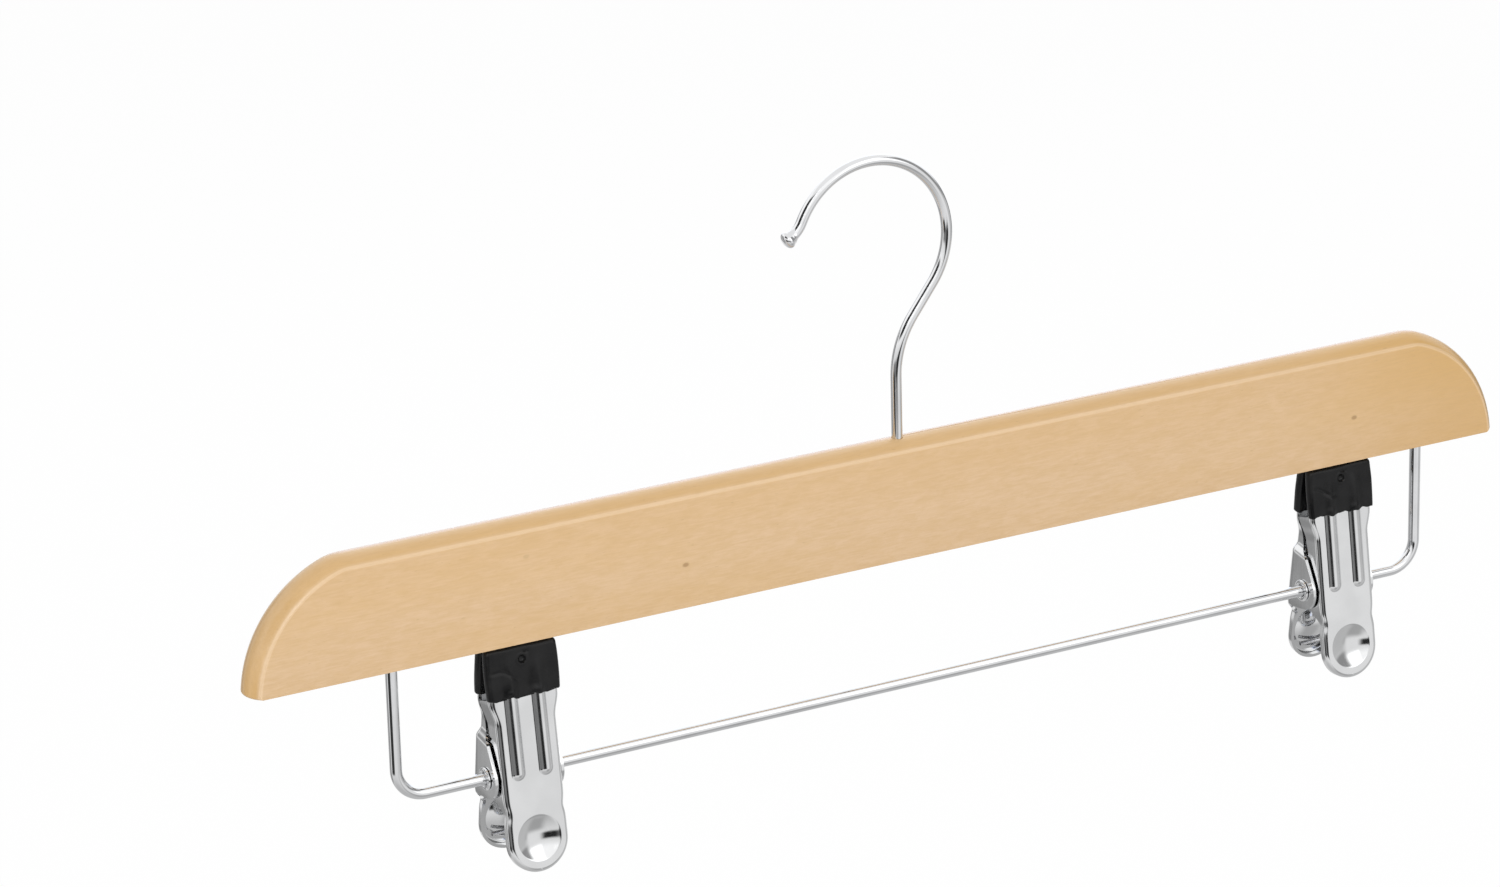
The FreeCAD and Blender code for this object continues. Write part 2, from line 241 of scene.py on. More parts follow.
def new_object(name, points, faces, sharp_angle=35.0):
    mesh = bpy.data.meshes.new(name)
    mesh.from_pydata([Vector(point) * MM for point in points], [], faces)
    mesh.validate()
    work = bmesh.new()
    work.from_mesh(mesh)
    bmesh.ops.remove_doubles(work, verts=work.verts, dist=merge_distance * MM)
    bmesh.ops.recalc_face_normals(work, faces=work.faces)
    work.to_mesh(mesh)
    work.free()
    shade(mesh, sharp_angle)
    obj = bpy.data.objects.new(name, mesh)
    bpy.context.scene.collection.objects.link(obj)
    return obj


def shade(mesh, sharp_angle):
    mesh.polygons.foreach_set("use_smooth", [True] * len(mesh.polygons))
    mesh.set_sharp_from_angle(angle=math.radians(sharp_angle))


def apply_modifiers(obj, sharp_angle=35.0):
    bpy.context.view_layer.update()
    shown = obj.evaluated_get(bpy.context.evaluated_depsgraph_get())
    mesh = bpy.data.meshes.new_from_object(shown)
    obj.modifiers.clear()
    old = obj.data
    obj.data = mesh
    bpy.data.meshes.remove(old)
    shade(mesh, sharp_angle)


def cut_out(obj, cutters, sharp_angle=35.0):
    """Cut the cutters' shapes out of obj and delete them."""
    for cutter in cutters:
        cut = obj.modifiers.new("cut", "BOOLEAN")
        cut.operation = "DIFFERENCE"
        cut.solver = "EXACT"
        cut.object = cutter
    apply_modifiers(obj, sharp_angle)
    for cutter in cutters:
        bpy.data.objects.remove(cutter)


def drop_slivers(obj):
    """Dissolve the edges and faces without size that a cut or a rounded end can leave."""
    work = bmesh.new()
    work.from_mesh(obj.data)
    bmesh.ops.dissolve_degenerate(work, dist=sliver_size * MM, edges=work.edges)
    work.to_mesh(obj.data)
    work.free()


def finish_piece(obj, body, slot, material, *nodes):
    obj.data.materials.clear()
    obj.data.materials.append(material)
    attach(obj, body)
    if nodes:
        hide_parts(*nodes)


def rings_to_faces(rings, count, closed_ring=True):
    """Quads between neighbouring rings of count points each."""
    faces = []
    around = count if closed_ring else count - 1
    for ring in range(rings - 1):
        here = ring * count
        ahead = here + count
        for i in range(around):
            j = (i + 1) % count
            faces.append((here + i, here + j, ahead + j, ahead + i))
    return faces


def tube_mesh(path, radii, sides=32):
    """Points and faces of a capped round tube along a path of points."""
    count = len(path)
    directions = []
    for i in range(count):
        ahead = path[min(i + 1, count - 1)] - path[max(i - 1, 0)]
        directions.append(ahead.normalized() if ahead.length > 1e-9 else directions[-1])
    side = directions[0].orthogonal().normalized()
    points = []
    for place, direction, radius in zip(path, directions, radii):
        side = (side - direction * side.dot(direction)).normalized()
        other = direction.cross(side)
        for k in range(sides):
            angle = 2 * math.pi * k / sides
            points.append(place + (side * math.cos(angle) + other * math.sin(angle)) * radius)
    faces = rings_to_faces(count, sides)
    faces.append(tuple(range(sides)))
    faces.append(tuple(range((count - 1) * sides, count * sides)))
    return points, faces


def tube(name, path, radius, sides=32):
    points, faces = tube_mesh(path, [radius] * len(path), sides)
    return new_object(name, points, faces, 60.0)


def lathe(name, profile, sides=64):
    """A closed profile of (x, radius) pairs turned about X."""
    points = []
    for x, radius in profile:
        for k in range(sides):
            angle = 2 * math.pi * k / sides
            points.append(Vector((x, radius * math.cos(angle), radius * math.sin(angle))))
    faces = rings_to_faces(len(profile), sides)
    last = (len(profile) - 1) * sides
    for k in range(sides):
        faces.append((last + k, last + (k + 1) % sides, (k + 1) % sides, k))
    return new_object(name, points, faces, 40.0)


def cylinder(start, end, radius, sides=48):
    points, faces = tube_mesh([Vector(start), Vector(end)], [radius, radius], sides)
    return new_object("cutter", points, faces)


def move(obj, matrix):
    obj.data.transform(matrix)
    obj.data.update()


def shift(x, y, z):
    return Matrix.Translation(Vector((x, y, z)) * MM)


class FlatPath:
    """A centreline in the XZ plane of straight runs and bends."""

    def __init__(self, x, z, heading):
        self.place = Vector((x, 0, z))
        self.heading = math.radians(heading)
        self.points = [self.place.copy()]

    def direction(self):
        return Vector((math.cos(self.heading), 0, math.sin(self.heading)))

    def straight(self, length, steps=1):
        for _ in range(steps):
            self.place = self.place + self.direction() * (length / steps)
            self.points.append(self.place.copy())

    def bend(self, radius, turn, step=3.0):
        steps = max(4, int(abs(turn) / step))
        angle = math.radians(turn) / steps
        for _ in range(steps):
            self.heading += angle / 2
            self.place = self.place + self.direction() * (2 * radius * math.sin(abs(angle) / 2))
            self.heading += angle / 2
            self.points.append(self.place.copy())


def end_to_heel(outset, end_z):
    """From the centre of an end's round to the centre of its heel, along X."""
    return math.sqrt((end_radius + outset - heel_radius) ** 2 - (heel_radius - end_z) ** 2)


def end_centre():
    """Centre (x, z) of the right end's round, above the bar's bottom."""
    turn = math.radians(shoulder_turn)
    end_z = face_height - shoulder_radius + (shoulder_radius - end_radius) * math.cos(turn)
    return bar_half - heel_radius - end_to_heel(crown_rise, end_z), end_z


# Materials

class Shader:
    """A principled material and the nodes that feed it."""

    def __init__(self, name):
        self.material = bpy.data.materials.new(name)
        self.material.use_nodes = True
        self.tree = self.material.node_tree
        self.main = self.tree.nodes["Principled BSDF"]

    def node(self, kind, **settings):
        made = self.tree.nodes.new(kind)
        for name, value in settings.items():
            setattr(made, name, value)
        return made

    def link(self, output, socket):
        self.tree.links.new(output, socket)

    def feed(self, name, output):
        self.link(output, self.main.inputs[name])

    def set(self, **values):
        for name, value in values.items():
            self.main.inputs[name.replace("_", " ")].default_value = value

    def coordinates(self, scale):
        place = self.node("ShaderNodeTexCoord")
        stretch = self.node("ShaderNodeMapping")
        stretch.inputs["Scale"].default_value = scale
        self.link(place.outputs["Object"], stretch.inputs["Vector"])
        return stretch.outputs["Vector"]

    def noise(self, scale, detail=3.0, roughness=0.55, distortion=0.0):
        made = self.node("ShaderNodeTexNoise")
        made.inputs["Scale"].default_value = 1.0
        made.inputs["Detail"].default_value = detail
        made.inputs["Roughness"].default_value = roughness
        made.inputs["Distortion"].default_value = distortion
        self.link(self.coordinates(scale), made.inputs["Vector"])
        return made.outputs["Fac"]

    def remap(self, value, low, high, to_low, to_high, smoothly=True):
        made = self.node("ShaderNodeMapRange")
        made.interpolation_type = "SMOOTHSTEP" if smoothly else "LINEAR"
        for name, number in zip(("From Min", "From Max", "To Min", "To Max"), (low, high, to_low, to_high)):
            made.inputs[name].default_value = number
        self.link(value, made.inputs["Value"])
        return made.outputs["Result"]

    def math(self, operation, a, b):
        made = self.node("ShaderNodeMath", operation=operation)
        for socket, value in zip(made.inputs, (a, b)):
            if isinstance(value, (int, float)):
                socket.default_value = value
            else:
                self.link(value, socket)
        return made.outputs[0]

    def blend(self, share, first, second, way="MIX"):
        made = self.node("ShaderNodeMix", data_type="RGBA", blend_type=way)
        sockets = [made.inputs[0], made.inputs[6], made.inputs[7]]
        for socket, value in zip(sockets, (share, first, second)):
            if isinstance(value, tuple):
                socket.default_value = (*value, 1.0)
            elif isinstance(value, (int, float)):
                socket.default_value = value
            else:
                self.link(value, socket)
        return made.outputs[2]

    def bump(self, height, strength, distance):
        made = self.node("ShaderNodeBump")
        made.inputs["Strength"].default_value = strength
        made.inputs["Distance"].default_value = distance
        self.link(height, made.inputs["Height"])
        self.feed("Normal", made.outputs["Normal"])


# Colours of the wood and of the grips
wood_pale = (0.74, 0.52, 0.315)
wood_mottle = (0.69, 0.468, 0.256)
wood_cloud = (0.7, 0.455, 0.2)
# The next colour warms the wood and also paints the shade on the right end
wood_warmth_and_shade = (0.655, 0.395, 0.135)
wood_fibre = (0.57, 0.355, 0.16)
wood_fleck = (0.36, 0.2, 0.08)
wood_knot = (0.3, 0.16, 0.05)
# The next colour is a painted highlight along the edge between the faces and the crown
wood_edge_highlight = (0.86, 0.64, 0.41)
# x at which the painted shade of the right end begins
right_shade_from_x = 105.0
grip_dark = (0.003, 0.003, 0.0033)
grip_light = (0.007, 0.007, 0.0073)


def varnished_wood():
    wood = Shader("varnished_wood")
    place = wood.node("ShaderNodeSeparateXYZ")
    wood.link(wood.coordinates((1 / MM, 1 / MM, 1 / MM)), place.inputs[0])
    x, y, z = place.outputs
    depth = wood.math("ABSOLUTE", y, 0.0)
    half = bar_thickness / 2

    # The wood is painted warmer on the crown, near its heels and high on the faces; towards the right end,
    # which the key lamp lights least, the warmer and darker tone is painted shade.
    crown = wood.remap(depth, half - 1.0, half - 0.3, 1.0, 0.0)
    heel = wood.math("MULTIPLY", crown, wood.remap(z, bar_bottom + 2.0, bar_bottom + 16.0, 0.35, 0.0))
    high = wood.remap(z, bar_bottom + 0.3 * face_height, bar_bottom + face_height, 0.0, 0.28)
    # Painted shade: the right end is painted warmer and darker, as it faces away from the key lamp.
    right = wood.remap(x, right_shade_from_x, bar_half, 0.0, 0.7)
    warmth_and_shade = wood.math("ADD", heel, wood.math("ADD", high, right))
    warmth_and_shade = wood.math("ADD", wood.math("MULTIPLY", crown, 0.35), warmth_and_shade)

    mottle = wood.noise((170.0, 700.0, 620.0), 4.0, 0.7, 0.3)
    cloud = wood.noise((7.0, 40.0, 32.0), 2.0, 0.5, 0.3)
    fibre = wood.noise((170.0, 2600.0, 2300.0), 3.0, 0.65)
    flecks = wood.noise((420.0, 2600.0, 2300.0), 2.0, 0.5)
    colour = wood.blend(wood.remap(mottle, 0.3, 0.7, 0.0, 1.0), wood_pale, wood_mottle)
    colour = wood.blend(wood.remap(cloud, 0.4, 0.7, 0.0, 0.4), colour, wood_cloud)
    colour = wood.blend(warmth_and_shade, colour, wood_warmth_and_shade)
    colour = wood.blend(wood.remap(fibre, 0.35, 0.7, 0.0, 0.24), colour, wood_fibre)
    colour = wood.blend(wood.remap(flecks, 0.67, 0.78, 0.0, 0.3), colour, wood_fleck)

    knots = wood.node("ShaderNodeTexVoronoi", voronoi_dimensions="2D")
    knots.inputs["Scale"].default_value = 1.0
    flat = wood.coordinates((26.0, 40.0, 40.0))
    flat.node.inputs["Rotation"].default_value = (math.pi / 2, 0, 0)
    wood.link(flat, knots.inputs["Vector"])
    knot = wood.remap(knots.outputs["Distance"], 0.012, 0.03, 0.6, 0.0)
    knotty = wood.remap(cloud, 0.48, 0.54, 0.0, 1.0)
    colour = wood.blend(wood.math("MULTIPLY", knot, knotty), colour, wood_knot)

    # A painted highlight: the wood is painted paler along the edge between the faces and the crown, where
    # the rounded edge catches the light.
    end_x, end_z = end_centre()
    across = wood.math("MAXIMUM", wood.math("SUBTRACT", wood.math("ABSOLUTE", x, 0.0), end_x), 0.0)
    above = wood.math("SUBTRACT", z, bar_bottom + end_z)
    reach = wood.math("ADD", wood.math("MULTIPLY", across, across), wood.math("MULTIPLY", above, above))
    reach = wood.math("SQRT", reach, 0.0)
    beyond = wood.math("MAXIMUM", wood.math("SUBTRACT", z, bar_bottom + face_height),
                       wood.math("SUBTRACT", reach, end_radius))
    edge_highlight_band = wood.remap(beyond, -0.6, -0.25, 0.0, 0.45)
    near_face = wood.remap(depth, half - 0.5, half - 0.25, 0.0, 1.0)
    colour = wood.blend(wood.math("MULTIPLY", edge_highlight_band, near_face), colour, wood_edge_highlight)

    wood.feed("Base Color", colour)
    wood.feed("Roughness", wood.remap(fibre, 0.2, 0.8, 0.42, 0.56))
    wood.bump(wood.math("ADD", fibre, wood.math("MULTIPLY", flecks, -0.6)), 0.08, 0.0001)
    wood.set(Specular_IOR_Level=0.2, Coat_Weight=0.8, Coat_Roughness=0.12)
    return wood.material


def chrome(name, tint, grain, least_roughness):
    """Polished plating; grain gives the scale of its faint polishing marks."""
    metal = Shader(name)
    marks = metal.noise(grain, 3.0, 0.6)
    cloud = metal.noise((90.0, 90.0, 90.0), 2.0, 0.5)
    dull = tuple(part * 0.93 for part in tint)
    metal.feed("Base Color", metal.blend(metal.remap(cloud, 0.35, 0.65, 0.0, 1.0), tint, dull))
    metal.feed("Roughness", metal.remap(marks, 0.3, 0.75, least_roughness, least_roughness + 0.06))
    metal.bump(marks, 0.02, 0.00005)
    metal.set(Metallic=1.0)
    return metal.material


def drawn_steel(name, tint):
    """Bright drawn wire or sheet with fine lines."""
    metal = Shader(name)
    lines = metal.noise((2600.0, 500.0, 500.0), 3.0, 0.6)
    dull = tuple(part * 0.8 for part in tint)
    metal.feed("Base Color", metal.blend(metal.remap(lines, 0.3, 0.7, 0.0, 1.0), tint, dull))
    metal.feed("Roughness", metal.remap(lines, 0.3, 0.7, 0.2, 0.34))
    metal.bump(lines, 0.05, 0.00005)
    metal.set(Metallic=1.0)
    return metal.material


def dipped_black():
    grip = Shader("dipped_black")
    cloud = grip.noise((160.0, 160.0, 160.0), 3.0, 0.6)
    skin = grip.noise((1500.0, 1500.0, 1500.0), 3.0, 0.6)
    grip.feed("Base Color", grip.blend(grip.remap(cloud, 0.35, 0.7, 0.0, 1.0), grip_dark, grip_light))
    grip.feed("Roughness", grip.remap(cloud, 0.3, 0.7, 0.22, 0.36))
    grip.bump(grip.math("ADD", grip.math("MULTIPLY", skin, 0.25), cloud), 0.25, 0.0003)
    grip.set(Specular_IOR_Level=0.24)
    return grip.material


wood_material = varnished_wood()
wire_chrome = chrome("chrome_wire", (0.78, 0.785, 0.795), (700.0, 700.0, 700.0), 0.05)
sheet_chrome = chrome("chrome_sheet", (0.76, 0.765, 0.77), (900.0, 900.0, 120.0), 0.07)
spring_steel = drawn_steel("spring_steel", (0.72, 0.72, 0.73))
washer_steel = drawn_steel("washer_steel", (0.6, 0.6, 0.61))
black_grip = dipped_black()


# Wooden bar

def bar_outline(outset):
    """The bar's outline as (x, z) points, its top and ends set out from the flat face's edge."""
    turn = math.radians(shoulder_turn)
    shoulder_z = face_height - shoulder_radius
    end_x, end_z = end_centre()
    shoulder_x = end_x - (shoulder_radius - end_radius) * math.sin(turn)
    heel_x = end_x + end_to_heel(outset, end_z)
    heel_angle = math.atan2(heel_radius - end_z, heel_x - end_x)
    right = [(0.0, face_height + outset), (shoulder_x - straight_end, face_height + outset)]
    for i in range(15):
        angle = turn * i / 15
        grown = shoulder_radius + outset
        right.append((shoulder_x + grown * math.sin(angle), shoulder_z + grown * math.cos(angle)))
    start = math.pi / 2 - turn
    for i in range(28):
        angle = mix(start, heel_angle, i / 28)
        grown = end_radius + outset
        right.append((end_x + grown * math.cos(angle), end_z + grown * math.sin(angle)))
    for i in range(13):
        angle = mix(heel_angle, -math.pi / 2, i / 12)
        right.append((heel_x + heel_radius * math.cos(angle), heel_radius + heel_radius * math.sin(angle)))
    half = right + [(heel_x - straight_end, 0.0)]
    middle = [(0.0, 0.0)]
    left = [(-x, z) for x, z in reversed(half[1:])]
    return half + middle + left


def build_bar():
    half = bar_thickness / 2
    crown_radius = (half ** 2 + crown_rise ** 2) / (2 * crown_rise)
    points = []
    for index in range(crown_strips + 1):
        y = -half * math.cos(math.pi * index / crown_strips)
        outset = crown_rise - crown_radius + math.sqrt(crown_radius ** 2 - y ** 2)
        ring = [Vector((x, y, bar_bottom + z)) for x, z in bar_outline(outset)]
        points += ring
    count = len(ring)
    faces = rings_to_faces(crown_strips + 1, count)
    faces.append(tuple(range(count)))
    faces.append(tuple(range(crown_strips * count, (crown_strips + 1) * count)))
    bar = new_object("bar_wood", points, faces)
    soften = bar.modifiers.new("soften", "BEVEL")
    soften.width = edge_round * MM
    soften.segments = 3
    soften.limit_method = "ANGLE"
    soften.angle_limit = math.radians(edge_angle)
    apply_modifiers(bar)
    below = bar_bottom - overlap
    pocket_top = bar_bottom + pocket_depth
    leg_top = bar_bottom + rod_insert + leg_hole_extra
    holes = [cylinder((0, 0, below), (0, 0, pocket_top), pocket_radius),
             cylinder((0, 0, pocket_top - overlap), (0, 0, bar_top + overlap), hook_radius + stem_play)]
    for x in legs:
        holes.append(cylinder((x, 0, below), (x, 0, leg_top), rod_radius + leg_play))
    cut_out(bar, holes)
    drop_slivers(bar)
    finish_piece(bar, "hanger_bar", "varnished_wood", wood_material, "wood_bar")


# Hook and rod

def build_hook():
    head_top = bar_bottom + pocket_depth - washer_thickness - washer_play
    path = FlatPath(0, head_top - head_height, 90)
    radii = [head_foot]
    for rise, radius in head_steps:
        path.straight(rise)
        radii.append(radius)
    path.straight(bar_top + stem_rise - path.place.z, 12)
    path.bend(neck_radius, neck_turn)
    path.straight(neck_run, 4)
    path.bend(loop_radius, loop_turn, 2.0)
    path.bend(tip_radius, tip_turn)
    radii += [hook_radius] * (len(path.points) - len(radii))
    path.bend(tip_radius, flare_turn)
    steps = len(path.points) - len(radii)
    radii += [hook_radius + flare * smooth(0.15, 1.0, (i + 1) / steps) for i in range(steps)]
    for ahead, radius in knob_steps:
        path.straight(ahead)
        radii.append(radius)
    points, faces = tube_mesh(path.points, radii, 40)
    hook = new_object("hook_wire", points, faces, 50.0)
    finish_piece(hook, "hook", "chrome_wire", wire_chrome, "swivel_hook")


def build_rod():
    leg = bar_bottom + rod_insert - rod_z - rod_corner
    path = FlatPath(legs[0], bar_bottom + rod_insert, -90)
    path.straight(leg, 12)
    path.bend(rod_corner, 90)
    path.straight(legs[1] - legs[0] - 2 * rod_corner, 40)
    path.bend(rod_corner, 90)
    path.straight(leg, 12)
    rod = tube("rod_wire", path.points, rod_radius, 40)
    finish_piece(rod, "hanger_bar", "chrome_wire", wire_chrome, "clip_rod")


# Clips: each piece is drawn upright at the back of its pivot, outward +Y, then tilted and placed

def clip_place(clip, side=None):
    place = shift(clip_x[clip], 0, rod_z)
    if side is None:
        return place
    tilt = Matrix.Rotation(closed_tilt, 4, "X")
    if side == "front":
        tilt = Matrix.Rotation(math.pi, 4, "Z") @ tilt
    return place @ tilt


def build_pivot(clip):
    profile = pivot_lip + [(-x, radius) for x, radius in reversed(pivot_lip)]
    pivot = lathe(clip + "_pivot_eyelet", profile)
    move(pivot, clip_place(clip))
    finish_piece(pivot, clip + "_pivot", "chrome_wire", wire_chrome, clip + "_pivot_tube")


def round_form(radius, rise, softness, *offsets):
    """Height over the plate of a ball that rises through it, these offsets from the ball's middle."""
    square = radius ** 2
    for offset in offsets:
        square -= offset ** 2
    over = math.sqrt(square) - (radius - rise) if square > 0 else -radius
    if over <= -trace_depth:
        return 0.0
    return 0.5 * (over + math.sqrt(over ** 2 + softness))


def plate_height(x, z):
    """How far the plate's outer face stands out: two ribs, and the thumb dish sunk in the lever."""
    height = 0.0
    for place in rib_places:
        past_end = max(0.0, rib_radius + rib_foot - z)
        rib = round_form(rib_radius, rib_rise, rib_softness, x - place, past_end)
        height += rib * smooth(*rib_fade, z)
    return height - round_form(dish_radius, dish_depth, dish_softness, x, z - dish_z)


def line_through(z, low, high):
    """The y at height z on the line between two (y, z) points."""
    return mix(low[0], high[0], (z - low[1]) / (high[1] - low[1]))


def tangent_point(y, z, radius, way):
    angle = math.atan2(z, y) + way * math.acos(radius / math.hypot(y, z))
    return radius * math.cos(angle), radius * math.sin(angle)


def free_edge(side, z):
    """The y of a flange's free edge at height z."""
    radius = ear_radius[side]
    corners = ear_corners[side]
    foot = (plate, ear_bottom[side])
    upper = tangent_point(*corners[-1], radius, 1)
    lower = tangent_point(*foot, radius, -1)
    for high, low in zip(corners, corners[1:] + [upper]):
        if high[1] >= z > low[1]:
            return line_through(z, low, high)
    if upper[1] >= z > lower[1]:
        return -math.sqrt(radius ** 2 - z ** 2)
    if lower[1] >= z > foot[1]:
        return line_through(z, foot, lower)
    return corners[0][0] if z > foot[1] else plate


def jaw_section(side, z):
    """Where the fold starts and the unfolded length past it, at height z."""
    half = lever_half + tip_widening * smooth(*widening_span, z)
    half -= waist * math.exp(-((z - waist_z) / waist_reach) ** 2)
    if side == "back":
        half += back_spread * smooth(*spread_top_span, z) * smooth(*spread_low_span, z)
    samples = [free_edge(side, z + offset) for offset in (-0.4, -0.2, 0.0, 0.2, 0.4)]
    depth = plate - sum(samples) / len(samples)
    depth = max(depth, rim_depth * smooth(*rim_span, z))
    depth = mix(depth, tip_depth, smooth(*tip_span, z))
    return half - fold, fold * math.pi / 2 + max(depth, tip_depth) - fold


def jaw_stations(side):
    """Stations down the right edge from the tip to the lever's lowest point: place, outward way, length."""
    heights = [jaw_reach - tip_margin - tip_row * i for i in range(tip_rows)]
    z = heights[-1] - tip_row / 2
    while z > -lever_centre:
        heights.append(z)
        z -= fine_row if rib_ends[0] < z < rib_ends[1] else coarse_row
    stations = []
    for z in heights:
        start, length = jaw_section(side, z)
        stations.append(((start, z), (1.0, 0.0), length))
    inner = lever_half - fold
    rim_length = fold * math.pi / 2 + rim_depth - fold
    for i in range(thumb_steps + 1):
        angle = math.pi / 2 * i / thumb_steps
        way = (math.cos(angle), -math.sin(angle))
        stations.append(((inner * way[0], -lever_centre + inner * way[1]), way, rim_length))
    return stations


def band_points(station):
    """Points from the fold's start to the free edge of one station."""
    (x, z), way, length = station
    points = []
    for i in range(1, fold_steps + 1):
        angle = math.pi / 2 * i / fold_steps
        out = fold * math.sin(angle)
        points.append(Vector((x + way[0] * out, plate - fold * (1 - math.cos(angle)), z + way[1] * out)))
    last = points[-1]
    reach = length - fold * math.pi / 2
    for i in range(1, flange_steps + 1):
        points.append(Vector((last.x, last.y - reach * i / flange_steps, last.z)))
    return points


def plate_columns(x):
    """Places across a plate of half width x, evenly over the ribs and closing in round the thumb end."""
    even = [ribbed_half * (i / half_columns - 1) for i in range(2 * half_columns + 1)]
    narrowest = ribbed_half + column_margin
    if x < narrowest:
        even = [place * x / narrowest for place in even]
    return [-x] + even + [x]


def face_outwards(obj):
    """Turn the faces of an open sheet so that its plate looks out along +Y."""
    work = bmesh.new()
    work.from_mesh(obj.data)
    bmesh.ops.recalc_face_normals(work, faces=work.faces)
    work.faces.ensure_lookup_table()
    outermost = max(work.faces, key=lambda face: face.calc_center_median().y)
    if outermost.normal.y < 0:
        bmesh.ops.reverse_faces(work, faces=work.faces)
    work.to_mesh(obj.data)
    work.free()


def build_jaw(clip, side):
    rows = []
    for station in jaw_stations(side):
        (x, z) = station[0]
        right = band_points(station)
        left = [Vector((-point.x, point.y, point.z)) for point in reversed(right)]
        middle = [Vector((across, plate + plate_height(across, z), z)) for across in plate_columns(x)]
        rows.append(left + middle + right)
    points = [point for row in rows for point in row]
    faces = rings_to_faces(len(rows), len(rows[0]), False)
    jaw = new_object("%s_%s_jaw_plate" % (clip, side), points, faces)
    drop_slivers(jaw)
    face_outwards(jaw)
    thick = jaw.modifiers.new("sheet", "SOLIDIFY")
    thick.thickness = sheet * MM
    thick.offset = -1.0
    thick.use_even_offset = True
    apply_modifiers(jaw)
    cut_out(jaw, [cylinder((-past_ears, 0, 0), (past_ears, 0, 0), ear_hole)])
    move(jaw, clip_place(clip, side))
    body = "%s_%s_jaw" % (clip, side)
    finish_piece(jaw, body, "chrome_sheet", sheet_chrome, body)


def grip_section(half_width, y_low, y_high, corner, long_steps=56, corner_steps=6, short_steps=4):
    """A rounded rectangle as (x, y, share) points; share is 1 on the outer face and 0 elsewhere."""
    section = []
    wide = half_width - corner
    low = y_low + corner
    high = y_high - corner
    corners = [(wide, high, 0), (-wide, high, 90), (-wide, low, 180), (wide, low, 270)]
    for i in range(short_steps):
        section.append((half_width, mix(low, high, i / short_steps), 0.0))
    for index, (x, y, start) in enumerate(corners):
        for i in range(corner_steps):
            angle = math.radians(start + 90 * i / corner_steps)
            share = max(0.0, math.sin(angle)) if index < 2 else 0.0
            section.append((x + corner * math.cos(angle), y + corner * math.sin(angle), share))
        steps = long_steps if index in (0, 2) else short_steps
        if index == 3:
            break
        ends = {0: ((wide, y_high), (-wide, y_high)), 1: ((-half_width, high), (-half_width, low)),
                2: ((-wide, y_low), (wide, y_low))}[index]
        for i in range(steps):
            share = i / steps
            section.append((mix(ends[0][0], ends[1][0], share), mix(ends[0][1], ends[1][1], share),
                            1.0 if index == 0 else 0.0))
    return section


def hump(offset, width):
    """A smooth hump of height 1 that falls off past width."""
    return math.exp(-(offset / width) ** 2)


def grip_relief(x, z, seed):
    """How far the dipped skin stands out over the ribs, in its dot and in its wrinkles."""
    relief = 0.0
    for centre in rib_places:
        relief += skin_rise * smooth(*skin_fade, z) * hump(x - centre, skin_width)
        relief += bead_rise * hump(x - centre, bead_width) * hump(z - bead_z, bead_height)
    dot = math.hypot(x - dot_place[0], z - dot_place[1])
    relief -= dot_depth * smooth(*dot_edge, dot)
    relief += dot_ring_rise * hump(dot - dot_ring_radius, dot_ring_width)
    along_slot = abs(x - slot_place[0])
    off_slot = z - slot_place[1] - slot_slope * x
    relief -= slot_depth * hump(off_slot, slot_width) * smooth(*slot_end, along_slot)
    relief += swell * noise.noise(Vector((x * 0.16 + seed, z * 0.24, seed * 1.7)))
    off_crease = z - crease_place[1] - crease_slope * (x - crease_place[0])
    off_crease -= crease_wave * math.sin(x * 0.9 + seed)
    ends = smooth(*crease_ends[0], x) * smooth(*crease_ends[1], x)
    return relief - crease_depth * hump(off_crease, crease_width) * ends


def grip_levels():
    """Heights of a grip's rings and how far each is set in: its lower lip, its sides and its round top."""
    levels = []
    for i in range(5):
        angle = math.pi / 2 * i / 4
        levels.append((grip_low + grip_lip * (1 - math.cos(angle)), grip_lip * (1 - math.sin(angle))))
    z = grip_low + grip_lip + grip_row
    while z < grip_high - grip_top_round:
        levels.append((z, 0.0))
        z += grip_row
    for i in range(9):
        angle = math.pi / 2 * i / 8
        inset = grip_top_round * 0.98 * (1 - math.cos(angle))
        levels.append((grip_high - grip_top_round * (1 - math.sin(angle)), inset))
    return levels


def build_grip(clip, side):
    seed = skin_seed[clip] + skin_seed[side]
    levels = grip_levels()
    points = []
    for z, inset in levels:
        share = (z - grip_low) / (grip_high - grip_low)
        half_width = grip_half + grip_bulge * math.sin(math.pi * min(1.0, 0.12 + 0.8 * share))
        ring = grip_section(half_width - inset, grip_inner + inset, grip_outer - inset * 0.8,
                            max(grip_least_corner, grip_corner - inset))
        low_share = smooth(hem_top, grip_low, z)
        for x, y, outer in ring:
            wave = sum(rise * math.sin(x * pace + seed * part) for rise, pace, part in hem_waves)
            relief = grip_relief(x, z, seed) * outer * smooth(0.6, 0.0, inset)
            points.append(Vector((x, y + relief, z + wave * low_share)))
    count = len(ring)
    faces = rings_to_faces(len(levels), count)
    faces.append(tuple(range(count)))
    faces.append(tuple(range((len(levels) - 1) * count, len(levels) * count)))
    grip = new_object("%s_%s_grip_cover" % (clip, side), points, faces, 50.0)
    move(grip, clip_place(clip, side))
    finish_piece(grip, "%s_%s_jaw" % (clip, side), "black_grip", black_grip, "%s_%s_grip" % (clip, side))


